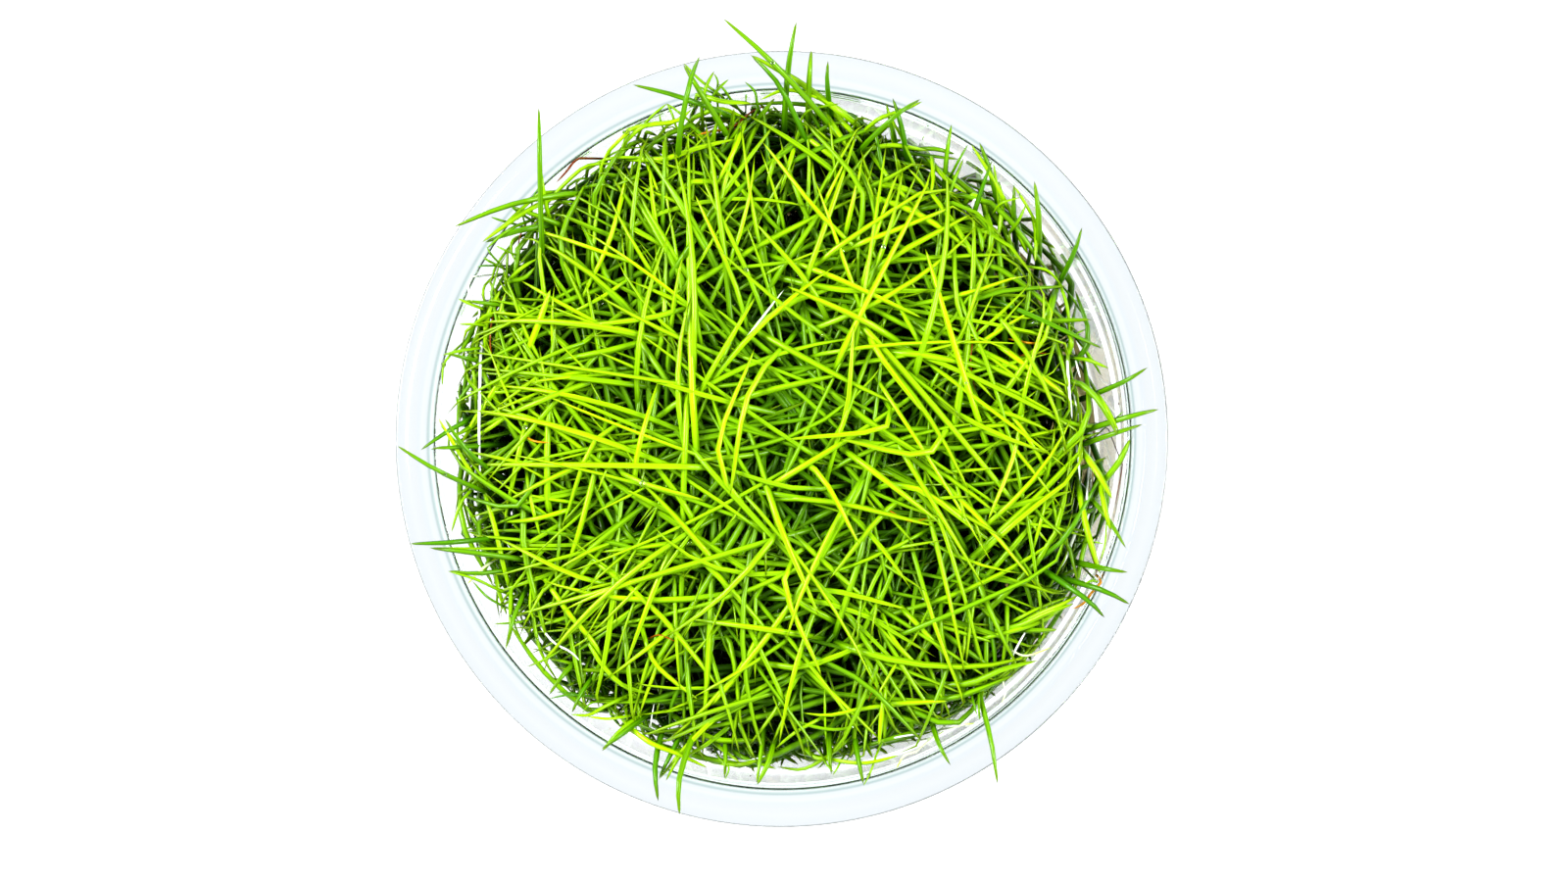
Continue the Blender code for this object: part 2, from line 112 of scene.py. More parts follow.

# Leaves round the wall that can be told apart, read in enlarged views of the photograph. A view
# has its left and top edge in the photograph's pixels and how many times it is enlarged. A leaf has the
# places (across, down) in the view that it passes from root to tip, its width there, and how dark it is.
WHOLE_PHOTOGRAPH = (0, 0, 1)
RIM_LEAVES = {
    (1020, 330, 8.711): (
        (470, 500, 700, 530, 850, 650, 980, 850, 1050, 1000, 75, 0.7),
        (870, 630, 980, 800, 1060, 960, 45, 0.5), (480, 830, 700, 905, 940, 900, 60, 0.5),
        (200, 1160, 560, 1080, 900, 960, 55, 0.2), (700, 1080, 800, 1230, 870, 1350, 70, 0.7),
        (740, 1150, 870, 1330, 1000, 1560, 85, 0.3), (950, 1370, 1060, 1230, 1160, 1030, 75, 0.7),
        (1030, 840, 1070, 810, 1105, 780, 18, 0.8), (0, 200, 280, 410, 590, 640, 75, 0.05),
        (60, 760, 240, 1000, 460, 1390, 60, 0.05), (640, 0, 610, 250, 570, 560, 50, 0.5),
        (700, 160, 780, 260, 900, 460, 35, 0.6), (640, 300, 800, 330, 970, 400, 50, 0.6),
        (640, 120, 700, 80, 765, 45, 25, 0.7), (590, 60, 640, 160, 610, 300, 55, 0.4),
    ),
    (390, 350, 10.453): (
        (1010, 50, 830, 85, 640, 130, 50, 0.6), (985, 700, 970, 300, 880, 110, 60, 0.4),
        (760, 120, 700, 230, 680, 460, 35, 0.6), (1540, 130, 1190, 520, 960, 860, 830, 1090, 85, 0.1),
        (1480, 60, 1150, 560, 980, 900, 60, 0.05), (1020, 1510, 860, 1200, 640, 810, 60, 0),
        (1050, 1390, 860, 1140, 620, 880, 40, 0.7), (800, 1150, 650, 1110, 515, 1135, 38, 0.9),
        (890, 885, 840, 885, 790, 885, 20, 0.9), (850, 740, 800, 640, 765, 565, 40, 0.8),
        (880, 690, 810, 560, 820, 430, 28, 0.7), (1567, 620, 1300, 800, 1080, 950, 860, 1040, 65, 0.15),
    ),
    (400, 480, 8.711): (
        (720, 150, 640, 280, 560, 550, 38, 0.6), (790, 560, 700, 400, 640, 300, 48, 0.6),
        (850, 500, 700, 500, 590, 550, 640, 630, 26, 0.6), (860, 600, 760, 560, 655, 545, 26, 0.7),
        (1560, 700, 760, 695, 320, 688, 35, 0.35), (820, 220, 920, 520, 1000, 880, 1040, 1100, 60, 0.15),
        (1210, 1170, 1010, 960, 870, 770, 50, 0.6), (940, 1070, 740, 965, 495, 895, 36, 0.6),
        (980, 1200, 860, 1110, 750, 985, 30, 0.9), (880, 780, 940, 1050, 1010, 1290, 55, 0.3),
        (1180, 0, 1240, 300, 1310, 600, 50, 0), (1560, 350, 1280, 430, 980, 460, 60, 0.1),
    ),
    (480, 590, 9.8): (
        (390, 0, 395, 300, 400, 520, 350, 715, 62, 0.6), (425, 490, 500, 620, 590, 768, 30, 0.5),
        (635, 0, 625, 400, 720, 790, 880, 1050, 50, 0.35), (600, 60, 600, 300, 640, 480, 40, 0.1),
        (740, 20, 990, 360, 1230, 640, 1360, 890, 80, 0.1),
        (1150, 540, 910, 710, 740, 820, 600, 880, 38, 0.6), (1120, 900, 1000, 905, 880, 935, 55, 0.5),
        (1110, 890, 930, 835, 790, 810, 55, 0.5), (1180, 1185, 950, 1170, 790, 1205, 28, 1),
        (1080, 1150, 970, 1135, 895, 1130, 20, 1), (1190, 1150, 1160, 1220, 1130, 1280, 26, 0.9),
        (1290, 1230, 1200, 1265, 1150, 1340, 26, 0.8),
        (1560, 1180, 1330, 1290, 1180, 1370, 1000, 1362, 52, 0.5),
        (1340, 1230, 1400, 1370, 1480, 1500, 48, 0.7), (1567, 1380, 1400, 1400, 1200, 1375, 40, 0.25),
        (1070, 630, 1020, 700, 960, 770, 24, 0.7), (1290, 820, 1230, 980, 1190, 1130, 60, 0.6),
        (1170, 800, 1130, 950, 1140, 1120, 50, 0.4), (600, 400, 480, 440, 275, 452, 36, 0.7),
    ),
    (560, 640, 6.533): (
        (590, 600, 480, 690, 355, 825, 48, 0.6), (540, 660, 700, 770, 880, 840, 1075, 930, 45, 0.25),
        (1560, 330, 1200, 530, 930, 780, 730, 1020, 52, 0.2), (960, 760, 860, 880, 780, 1025, 35, 0.5),
        (1130, 880, 1200, 945, 1172, 1020, 20, 0.7), (1490, 780, 1455, 920, 1390, 1050, 48, 0.7),
        (1090, 900, 1280, 915, 1420, 880, 40, 0.3), (880, 640, 1080, 740, 1400, 760, 58, 0.4),
        (230, 40, 340, 230, 500, 390, 700, 450, 50, 0.3),
        (960, 150, 900, 330, 820, 500, 790, 700, 42, 0.8), (560, 440, 590, 560, 630, 760, 42, 0.4),
        (620, 30, 700, 230, 860, 380, 1000, 490, 45, 0.1), (1420, 20, 1240, 330, 1090, 520, 55, 0.05),
    ),
    (740, 700, 7.84): (
        (1000, 420, 820, 560, 600, 670, 410, 650, 42, 0.3), (760, 260, 560, 370, 400, 500, 42, 0.15),
        (1567, 130, 1100, 180, 800, 235, 620, 215, 52, 0.15),
        (480, 260, 640, 310, 900, 350, 1180, 270, 40, 0.5), (830, 590, 1120, 615, 1390, 555, 46, 0.35),
        (780, 590, 830, 650, 870, 690, 24, 0.7), (915, 610, 890, 670, 862, 712, 24, 0.6),
        (1200, 560, 1165, 680, 1105, 800, 24, 0.5), (1280, 0, 1250, 250, 1230, 480, 60, 0.15),
        (1330, 0, 1290, 230, 1260, 470, 50, 0.3), (790, 0, 795, 250, 800, 500, 26, 0.2),
        (1500, 260, 1485, 340, 1472, 398, 28, 0.8), (0, 620, 150, 630, 300, 590, 38, 0.3),
        (640, 520, 740, 580, 860, 560, 50, 0.25),
    ),
    (900, 620, 7.127): (
        (350, 560, 640, 550, 880, 450, 1135, 385, 58, 0.6), (60, 780, 230, 830, 350, 880, 55, 0.6),
        (0, 705, 250, 690, 480, 680, 48, 0.15), (650, 650, 670, 710, 690, 780, 26, 0.9),
        (700, 650, 705, 740, 710, 820, 26, 0.8), (1140, 190, 1140, 250, 1140, 305, 26, 0.8),
        (740, 180, 1000, 130, 1200, 40, 1400, -30, 58, 0.5),
        (700, 230, 950, 170, 1180, 90, 1330, -10, 50, 0.35), (905, 0, 905, 220, 870, 430, 50, 0.45),
        (620, 40, 700, 330, 760, 500, 58, 0.5), (150, 20, 330, 200, 620, 510, 55, 0.2),
        (270, 90, 600, 190, 870, 275, 42, 0.2), (690, -30, 790, 60, 870, 130, 52, 0.3),
        (0, 60, 90, 240, 270, 430, 45, 0.1), (420, -20, 430, 180, 480, 400, 48, 0.4),
    ),
    (1030, 500, 10.453): (
        (1030, 420, 1015, 600, 970, 760, 24, 0.5), (740, 0, 820, 380, 970, 900, 90, 0.35),
        (820, 480, 760, 750, 700, 1080, 75, 0.5), (0, 1500, 300, 1330, 600, 1200, 740, 1120, 75, 0.4),
        (0, 1420, 280, 1280, 640, 1130, 55, 0.3), (400, 0, 330, 350, 200, 770, 58, 0.15),
        (420, 0, 510, 330, 560, 720, 52, 0.25), (0, 340, 420, 390, 830, 500, 50, 0.2),
        (0, 620, 200, 900, 400, 1180, 55, 0.35), (980, 0, 1030, 250, 1080, 430, 85, 0.4),
        (900, 560, 940, 560, 1005, 575, 26, 0.6), (930, 980, 870, 970, 800, 1000, 40, 0.7),
    ),
    (1050, 190, 9.8): (
        (370, 1040, 440, 1130, 515, 1260, 32, 0.7), (300, 960, 380, 1200, 400, 1560, 48, 0.4),
        (420, 1490, 490, 1460, 570, 1425, 26, 0.6), (0, 800, 180, 840, 320, 980, 40, 0.4),
        (60, 300, 70, 500, 60, 760, 60, 0.4), (240, 1100, 200, 1250, 100, 1400, 110, 0.6),
        (0, 1420, 150, 1450, 340, 1500, 45, 0.6),
    ),
    (880, 60, 6.533): (
        (0, 480, 120, 395, 250, 350, 400, 285, 42, 0.5), (250, 500, 205, 420, 163, 320, 28, 0.5),
        (590, 760, 640, 680, 705, 570, 26, 0.9), (950, 950, 870, 800, 725, 570, 38, 0.4),
        (905, 960, 890, 800, 875, 700, 28, 0.5), (1140, 1060, 1060, 920, 1015, 855, 30, 0.4),
        (870, 1020, 930, 960, 1050, 925, 24, 0.5), (970, 1160, 1050, 1060, 1092, 970, 34, 0.7),
        (360, 590, 500, 600, 612, 628, 42, 0.7), (20, 600, 180, 575, 440, 610, 48, 0.25),
        (480, 1090, 500, 980, 580, 915, 680, 930, 18, 0.6),
        (0, 910, 250, 980, 480, 1100, 720, 1280, 60, 0.05), (470, 700, 560, 800, 700, 900, 50, 0.4),
        (670, 960, 740, 905, 800, 940, 830, 1060, 50, 0.3), (60, 640, 230, 860, 400, 1040, 45, 0.25),
        (0, 820, 260, 860, 460, 950, 60, 0.1), (900, 830, 930, 1000, 900, 1200, 50, 0.4),
        (820, 1020, 860, 1180, 840, 1300, 60, 0.5), (700, 1080, 780, 1160, 800, 1290, 60, 0.6),
        (990, 1000, 1040, 1150, 1100, 1300, 60, 0.45), (460, 660, 470, 780, 460, 910, 40, 0.2),
    ),
    (640, 0, 6.533): (
        (600, 620, 480, 530, 375, 420, 26, 0.6), (490, 720, 530, 570, 580, 475, 36, 0.6),
        (590, 600, 600, 530, 578, 490, 20, 0.7), (560, 640, 620, 580, 675, 530, 28, 0.7),
        (680, 650, 640, 590, 610, 560, 24, 0.8), (560, 612, 510, 592, 468, 573, 20, 0.8),
        (90, 840, 180, 760, 265, 690, 26, 0.6), (225, 830, 220, 790, 214, 755, 18, 0.7),
        (315, 830, 295, 750, 263, 690, 22, 0.6), (375, 775, 320, 730, 262, 690, 22, 0.6),
        (860, 690, 850, 610, 785, 545, 24, 0.9), (1480, 790, 1100, 520, 820, 365, 60, 0.5),
        (1400, 720, 1250, 650, 1060, 615, 900, 680, 38, 0.2),
        (1140, 830, 1200, 740, 1300, 710, 1420, 690, 22, 0.6), (1290, 720, 1380, 860, 1480, 990, 75, 0.4),
        (1340, 700, 1450, 830, 1567, 950, 60, 0.3), (420, 720, 620, 720, 800, 790, 48, 0.15),
        (480, 640, 650, 690, 840, 700, 50, 0.5), (0, 860, 160, 830, 340, 800, 430, 730, 46, 0.3),
        (0, 1055, 250, 1060, 480, 985, 720, 930, 52, 0.15), (1140, 870, 1090, 1060, 1010, 1300, 40, 0.1),
        (780, 810, 730, 970, 650, 1130, 560, 1280, 44, 0.1), (1080, 960, 980, 1080, 930, 1240, 55, 0.35),
        (1150, 880, 1350, 1030, 1567, 1200, 58, 0.05), (0, 950, 120, 860, 250, 820, 40, 0.5),
        (240, 900, 260, 1080, 260, 1300, 42, 0.1), (800, 640, 810, 660, 806, 690, 16, 0.8),
        (820, 600, 870, 720, 830, 790, 40, 0.6),
    ),
    (430, 180, 7.467): (
        (960, 170, 760, 290, 600, 400, 465, 500, 50, 0.4), (900, 120, 720, 290, 560, 440, 40, 0.5),
        (720, 370, 620, 440, 500, 550, 35, 0.8), (748, 278, 710, 250, 678, 222, 25, 0.9),
        (762, 300, 762, 260, 760, 230, 20, 0.8), (665, 350, 600, 335, 530, 310, 26, 0.8),
        (830, 215, 850, 160, 888, 90, 18, 1), (700, 440, 590, 570, 510, 690, 520, 810, 30, 0.5),
        (740, 450, 690, 490, 680, 560, 710, 640, 30, 0.5), (668, 578, 620, 555, 568, 528, 22, 0.7),
        (540, 615, 515, 570, 498, 535, 22, 0.8), (510, 676, 465, 682, 426, 690, 20, 1),
        (530, 655, 500, 637, 472, 618, 24, 0.8), (470, 740, 445, 840, 470, 930, 515, 990, 28, 0.3),
        (400, 985, 330, 955, 283, 933, 32, 0.4), (480, 1135, 400, 1132, 316, 1133, 28, 0.5),
        (1560, 640, 1100, 480, 790, 385, 44, 0.05), (1400, 1150, 1050, 960, 760, 795, 46, 0.05),
        (860, 1180, 740, 1000, 620, 820, 38, 0.15), (800, 1340, 900, 1110, 990, 860, 66, 0.05),
        (1560, 20, 1430, 500, 1180, 990, 50, 0.05), (1567, 780, 1350, 930, 1120, 1050, 44, 0.05),
        (480, 1340, 500, 1080, 600, 860, 60, 0.2), (560, 1340, 590, 1080, 640, 880, 50, 0.3),
        (660, 780, 760, 700, 880, 620, 45, 0.3), (640, 800, 800, 760, 870, 690, 50, 0.6),
        (700, 1340, 760, 1200, 800, 1130, 50, 0.2),
    ),
    (540, 80, 9.8): (
        (170, 1340, 140, 1100, 90, 780, 60, 0.5), (0, 1080, 300, 970, 560, 870, 900, 850, 55, 0.35),
        (520, 830, 800, 800, 1100, 790, 1320, 790, 50, 0.35), (700, 1000, 760, 850, 830, 710, 30, 0.3),
        (800, 700, 920, 600, 1050, 480, 50, 0.2), (1110, 480, 1160, 500, 1260, 560, 50, 0.4),
        (620, 970, 670, 910, 720, 860, 26, 0.8), (420, 1340, 520, 1120, 600, 990, 28, 0.4),
        (360, 1070, 500, 1000, 600, 990, 36, 0.5), (550, 1080, 750, 1060, 900, 1130, 50, 0.4),
        (480, 1130, 700, 1230, 850, 1340, 50, 0.7), (250, 1240, 380, 1230, 470, 1240, 45, 0.5),
        (940, 1300, 1160, 1130, 1450, 960, 1567, 870, 50, 0.1),
        (1160, 830, 1250, 1030, 1330, 1250, 45, 0.05), (1340, 650, 1350, 1000, 1400, 1350, 60, 0.1),
        (880, 1340, 930, 1150, 970, 950, 40, 0.1), (780, 760, 940, 700, 1150, 680, 30, 0.4),
        (950, 540, 940, 550, 935, 570, 16, 0.8),
    ),
}

# Dead leaves, orange at 0 and red-brown at 1, and near-white leaves, whose tips are green at 1: shoots
# without colour, and painted highlights where light streaks along the wall and on a leaf
DEAD_LEAVES = {
    WHOLE_PHOTOGRAPH: (
        (541, 219, 534.5, 229.5, 529, 244, 526.4, 256, 2.8, 0.5),
        (510, 304.5, 502, 324.6, 499.5, 350, 505, 384, 3, 0.4),
        (1122.8, 594.7, 1114, 605, 1104.6, 616.7, 1094, 621.5, 5, 0.15),
        (1145, 474, 1142, 495, 1138, 516, 2, 1), (533, 443, 545, 450, 562, 452, 4, 0),
        (985, 318, 992, 345, 990, 372, 996, 402, 2.2, 0.5), (1003, 330, 985, 352, 978, 380, 2, 0.6),
        (775, 102, 762, 116, 748, 128, 735, 134, 4, 0.7), (734, 132, 722, 135, 711, 138, 5, 0.1),
        (590, 160.6, 585, 166, 578, 175, 568, 186, 4.5, 0.8), (894, 700, 889, 708, 885, 717, 2, 0.2),
        (1037, 347, 1050, 350, 1065, 349.5, 4, 0), (1038, 363, 1052, 361, 1068, 360, 2.4, 0.4),
        (660, 652, 672, 648, 690, 655, 3, 0.3), (905, 520, 930, 532, 948, 528, 3, 0.2),
    ),
}

PALE_SHOOTS_AND_PAINTED_HIGHLIGHTS = {
    WHOLE_PHOTOGRAPH: (
        (499.9, 573, 489.5, 582.2, 476.9, 596, 4.6, 1), (484.9, 307.2, 489, 320.6, 483.6, 346, 4, 0.4),
        (483.6, 283, 481.5, 296, 485, 309, 3, 0.3),
        (490.3, 350, 490.3, 397.8, 489.5, 445.7, 490.5, 493.5, 5.2, 0),
        (479.4, 386, 479.4, 402, 478.9, 419, 4, 0), (1088.9, 369, 1091.2, 398.9, 1094, 428.7, 4.5, 0),
        (1098, 370, 1100, 377, 1102.6, 386, 3.4, 0), (1096.9, 449.4, 1100.4, 467.8, 1101.7, 490.7, 4, 0),
        (1095, 401, 1097.5, 412, 1100, 424, 3, 0.2), (1109.4, 500, 1109.4, 509, 1109, 518, 4, 0),
        (1092.2, 555.5, 1087.4, 568.9, 1079.7, 582.3, 5.5, 0.3),
        (1047.3, 642.5, 1034.7, 666.3, 1026.3, 690, 3.6, 0.2),
        (1023.5, 698.6, 1026, 707, 1022, 718, 3, 0.7), (933.9, 767.6, 922.4, 771.4, 914.7, 784.2, 3.8, 1),
        (947.7, 758.9, 958.9, 754.7, 963, 746, 3.5, 0.9),
        (975.8, 742, 984.2, 739.3, 994.3, 738.1, 3.5, 1),
        (1030.5, 663.5, 1048.7, 669.1, 1072.6, 660.7, 4, 1), (740, 775, 760, 776.5, 782, 771.4, 4, 0.1),
        (551.4, 641, 567.8, 657.3, 583, 665.5, 593.3, 676.7, 4, 0.1),
        (904.5, 754.8, 922.4, 751, 939, 748.5, 3, 0), (662, 745, 664, 735, 667, 718, 2.4, 0.2),
        (745, 365, 765, 340, 800, 295, 4.5, 0.3), (992, 215, 995, 204, 1001, 206, 4.5, 0.2),
    ),
}

# Flecks of dead leaf on the neck: the pixel (across, down), length and width in mm, and tone
FLECK_HEIGHT = 54 * MM
FLECKS = (
    (1142, 412, 0.5, 0.45, 1.0), (1113, 300.2, 0.4, 0.25, 0.6), (884, 115, 0.3, 0.25, 0.4),
    (618.5, 751, 0.3, 0.25, 0.3), (643, 732, 0.5, 0.2, 0.5), (766.8, 783, 0.4, 0.25, 1.0),
)


def srgb(code):
    """A hex colour as linear red, green, blue and one."""
    values = [int(code[i : i + 2], 16) / 255 for i in (1, 3, 5)]
    return [v / 12.92 if v <= 0.04045 else ((v + 0.055) / 1.055) ** 2.4 for v in values] + [1.0]


# Modelling


def deselect_all():
    bpy.ops.object.select_all(action="DESELECT")


def arc(centre_r, centre_z, radius, start, end, steps=6):
    """Points (r, z) along an arc between two angles in degrees, counted from outwards to upwards."""
    angles = [math.radians(start + (end - start) * i / steps) for i in range(steps + 1)]
    return [(centre_r + radius * math.cos(a), centre_z + radius * math.sin(a)) for a in angles]


def turned(name, profile, steps):
    """Draws a round piece up from its foot, ring after ring, and closes it on the axis."""
    deselect_all()
    radius, height = profile[0]
    bpy.ops.mesh.primitive_circle_add(
        vertices=steps, radius=radius, fill_type="TRIFAN", location=(0, 0, height)
    )
    piece = bpy.context.object
    piece.name = name
    bpy.ops.object.transform_apply()
    bpy.ops.object.mode_set(mode="EDIT")
    bpy.ops.mesh.select_mode(type="EDGE")
    bpy.ops.mesh.select_all(action="DESELECT")
    bpy.ops.mesh.select_non_manifold()
    for next_radius, next_height in profile[1:]:
        bpy.ops.mesh.extrude_edges_move(
            TRANSFORM_OT_translate={"value": (0, 0, next_height - height)}
        )
        share = max(next_radius / radius, 1e-4)
        bpy.ops.transform.resize(value=(share, share, 1), center_override=(0, 0, next_height))
        radius, height = next_radius, next_height
    bpy.ops.mesh.merge(type="CENTER")
    bpy.ops.mesh.select_all(action="SELECT")
    bpy.ops.mesh.normals_make_consistent(inside=False)
    bpy.ops.object.mode_set(mode="OBJECT")
    return piece


def ledge_curve():
    """The soft step in the wall that a lid's skirt stops against, from below."""
    shares = np.linspace(0, 1, 9)
    out = LEDGE_RADIUS + (NECK_FOOT_RADIUS - LEDGE_RADIUS) * smoothstep(0, 1, shares)
    return [(float(r), LEDGE_HEIGHT + (LEDGE_TOP - LEDGE_HEIGHT) * s) for r, s in zip(out, shares)]


def cup_profile():
    """From the middle of the underside out, up the outside, over the brim and down the inside."""
    corner = (FOOT_RADIUS - FOOT_ROUND, FOOT_ROUND)
    under_brim = CUP_HEIGHT - BRIM_THICKNESS
    fillet = (MOUTH_RADIUS + WALL + UNDER_BRIM_ROUND, under_brim - UNDER_BRIM_ROUND)
    edge = BRIM_RADIUS - BRIM_EDGE_ROUND
    rib = [
        (RIB_RADIUS + RIB_WIDTH / 2 * math.cos(a), CUP_HEIGHT + RIB_HEIGHT * math.sin(a) ** 2)
        for a in np.linspace(0, math.pi, 9)
    ]
    return [
        (15 * MM, 0),
        *arc(*corner, FOOT_ROUND, -90, 0, 8),
        *[(r + WALL, z) for r, z in ledge_curve()],
        *arc(*fillet, UNDER_BRIM_ROUND, 180, 90, 8),
        *arc(edge, under_brim + BRIM_EDGE_ROUND, BRIM_EDGE_ROUND, -90, 0, 4),
        *arc(edge, CUP_HEIGHT - BRIM_EDGE_ROUND, BRIM_EDGE_ROUND, 0, 90, 4),
        *rib,
        *arc(MOUTH_RADIUS + MOUTH_ROUND, CUP_HEIGHT - MOUTH_ROUND, MOUTH_ROUND, 90, 180, 10),
        *ledge_curve()[::-1],
        *arc(*corner, FOOT_ROUND - WALL, 0, -90, 8),
        (15 * MM, WALL),
        (0, WALL),
    ]


def inner_radius(z):
    """The cup's inner radius at one or many heights."""
    heights = (FOOT_ROUND, LEDGE_HEIGHT, LEDGE_TOP, CUP_HEIGHT)
    radii = (FOOT_RADIUS - WALL, LEDGE_RADIUS, NECK_FOOT_RADIUS, MOUTH_RADIUS)
    return np.interp(z, heights, radii)


def gel_profile():
    corner = (FOOT_RADIUS - FOOT_ROUND, FOOT_ROUND)
    creep_top = GEL_TOP + GEL_CREEP_HEIGHT
    edge = float(inner_radius(creep_top)) - GEL_GAP
    creep = [
        (edge - GEL_CREEP_WIDTH * share, GEL_TOP + GEL_CREEP_HEIGHT * (1 - share) ** 2)
        for share in np.linspace(0, 1, 6)
    ]
    return [
        (15 * MM, WALL + GEL_GAP),
        *arc(*corner, FOOT_ROUND - WALL - GEL_GAP, -90, 0, 6),
        *creep,
        (15 * MM, GEL_TOP),
        (0, GEL_TOP),
    ]


def needle_form():
    """One needle leaf, a metre long and a metre in half width, with a groove along its upper side."""
    needle = turned("needle", [(share, height) for height, share in NEEDLE_RINGS], NEEDLE_SIDES)
    for vert in needle.data.vertices:
        reach = math.hypot(vert.co.x, vert.co.y)
        vert.select = reach > 0.01 and vert.co.y / reach > 0.9
    bpy.ops.object.mode_set(mode="EDIT")
    bpy.ops.mesh.select_mode(type="VERT")
    bpy.ops.transform.resize(value=(0.6, 0.6, 1), center_override=(0, 0, 0))
    bpy.ops.object.mode_set(mode="OBJECT")
    return needle


# Leaf paths


def dome(reach):
    """The height of the sward's top at a distance from the middle."""
    return SWARD_TOP - (SWARD_TOP - SWARD_SHOULDER) * (reach / MOUTH_RADIUS) ** 2


def smoothstep(low, high, value):
    t = np.clip((value - low) / (high - low), 0, 1)
    return t * t * (3 - 2 * t)


def seen_at_height(across, down, z):
    """Where the line of sight through a pixel of the photograph meets a height."""
    right = (across - PHOTOGRAPH_MIDDLE[0]) / PHOTOGRAPH_WIDTH * RIM_VIEW_WIDTH
    up = (PHOTOGRAPH_MIDDLE[1] - down) / PHOTOGRAPH_WIDTH * RIM_VIEW_WIDTH
    ray = CAMERA_AIM + CAMERA_RIGHT * right + CAMERA_UP * up - CAMERA_PLACE
    return (CAMERA_PLACE + ray * (z - CAMERA_PLACE.z) / ray.z).to_2d()


def seen_in_sward(across, down, over):
    """Where that line meets the sward's top, which rises over the brim for a leaf that passes the mouth."""
    z = CUP_HEIGHT
    for _ in range(8):
        place = seen_at_height(across, down, z)
        rise = float(smoothstep(36 * MM, 41.5 * MM, place.length)) if over else 0
        z = dome(min(place.length, MOUTH_RADIUS)) - 0.8 * MM + 2.8 * MM * rise
    return place


def read_leaves(views):
    """A row for each leaf: its places and its width in mm, and its tone."""
    rows = []
    for (left, top, times), leaves in views.items():
        for leaf in leaves:
            pixels = [(left + x / times, top + y / times) for x, y in zip(leaf[:-2:2], leaf[1:-2:2])]
            over = math.dist(pixels[-1], CUP_MIDDLE) > OVER_BRIM
            places = [value / MM for pixel in pixels for value in seen_in_sward(*pixel, over)]
            rows.append((*places, leaf[-2] / times / PIXELS_PER_MM, leaf[-1]))
    return rows


def along(points, shares):
    """Points on one smooth curve through the given points, at shares of its length."""
    points = np.array(points, float)
    lengths = np.linalg.norm(np.diff(points, axis=0), axis=1)
    marks = np.concatenate([[0], np.cumsum(lengths)])
    slopes = np.gradient(points, marks, axis=0)
    wanted = np.array(shares) * marks[-1]
    i = np.clip(np.searchsorted(marks, wanted, side="right") - 1, 0, len(lengths) - 1)
    span = lengths[i][:, None]
    t = ((wanted - marks[i])[:, None]) / span
    start, end = points[i], points[i + 1]
    leave, arrive = slopes[i] * span, slopes[i + 1] * span
    return (
        (2 * t**3 - 3 * t**2 + 1) * start
        + (t**3 - 2 * t**2 + t) * leave
        + (3 * t**2 - 2 * t**3) * end
        + (t**3 - t**2) * arrive
    )


def solid_leaves(node):
    """The crown's middle, and the middle line of each leaf of a tuft's solid, from its crown to its tip."""
    mesh = node.data
    mesh.calc_loop_triangles()
    corners = np.array([vert.co for vert in mesh.vertices])
    places, index = np.unique(np.round(corners / (0.001 * MM)), axis=0, return_inverse=True)
    places = places * 0.001 * MM
    index = index.reshape(-1)
    near = [set() for _ in places]
    for triangle in mesh.loop_triangles:
        a, b, c = (int(index[v]) for v in triangle.vertices)
        near[a] |= {b, c}
        near[b] |= {a, c}
        near[c] |= {a, b}
    foot = places[:, 2].min()
    crown = places[places[:, 2] < foot + 0.05 * MM].mean(axis=0)
    lines = []
    for tip in range(len(places)):
        if len(near[tip]) != 3:
            continue
        passed, ring = {tip}, near[tip]
        line = [places[tip], places[list(ring)].mean(axis=0)]
        for _ in range(3):
            passed |= ring
            ring = set().union(*(near[v] for v in ring)) - passed
            line.append(places[list(ring)].mean(axis=0))
        root = crown + np.array((0, 0, 1.0 * MM))
        root += (line[-1] - root) * (1, 1, 0) * 0.1
        lines.append([root, *line[::-1]])
    return crown, lines


def blunt(shares):
    """Shares of the length that keep a leaf's width up to nearer its tip."""
    return 1 - (1 - np.array(shares)) ** 1.3


def bare_wall(angle):
    """Where the leaves stand clear of the wall: 1 on the right of the picture, 0 elsewhere."""
    return float(smoothstep(0.65, 0.85, math.cos(angle - math.radians(20))))


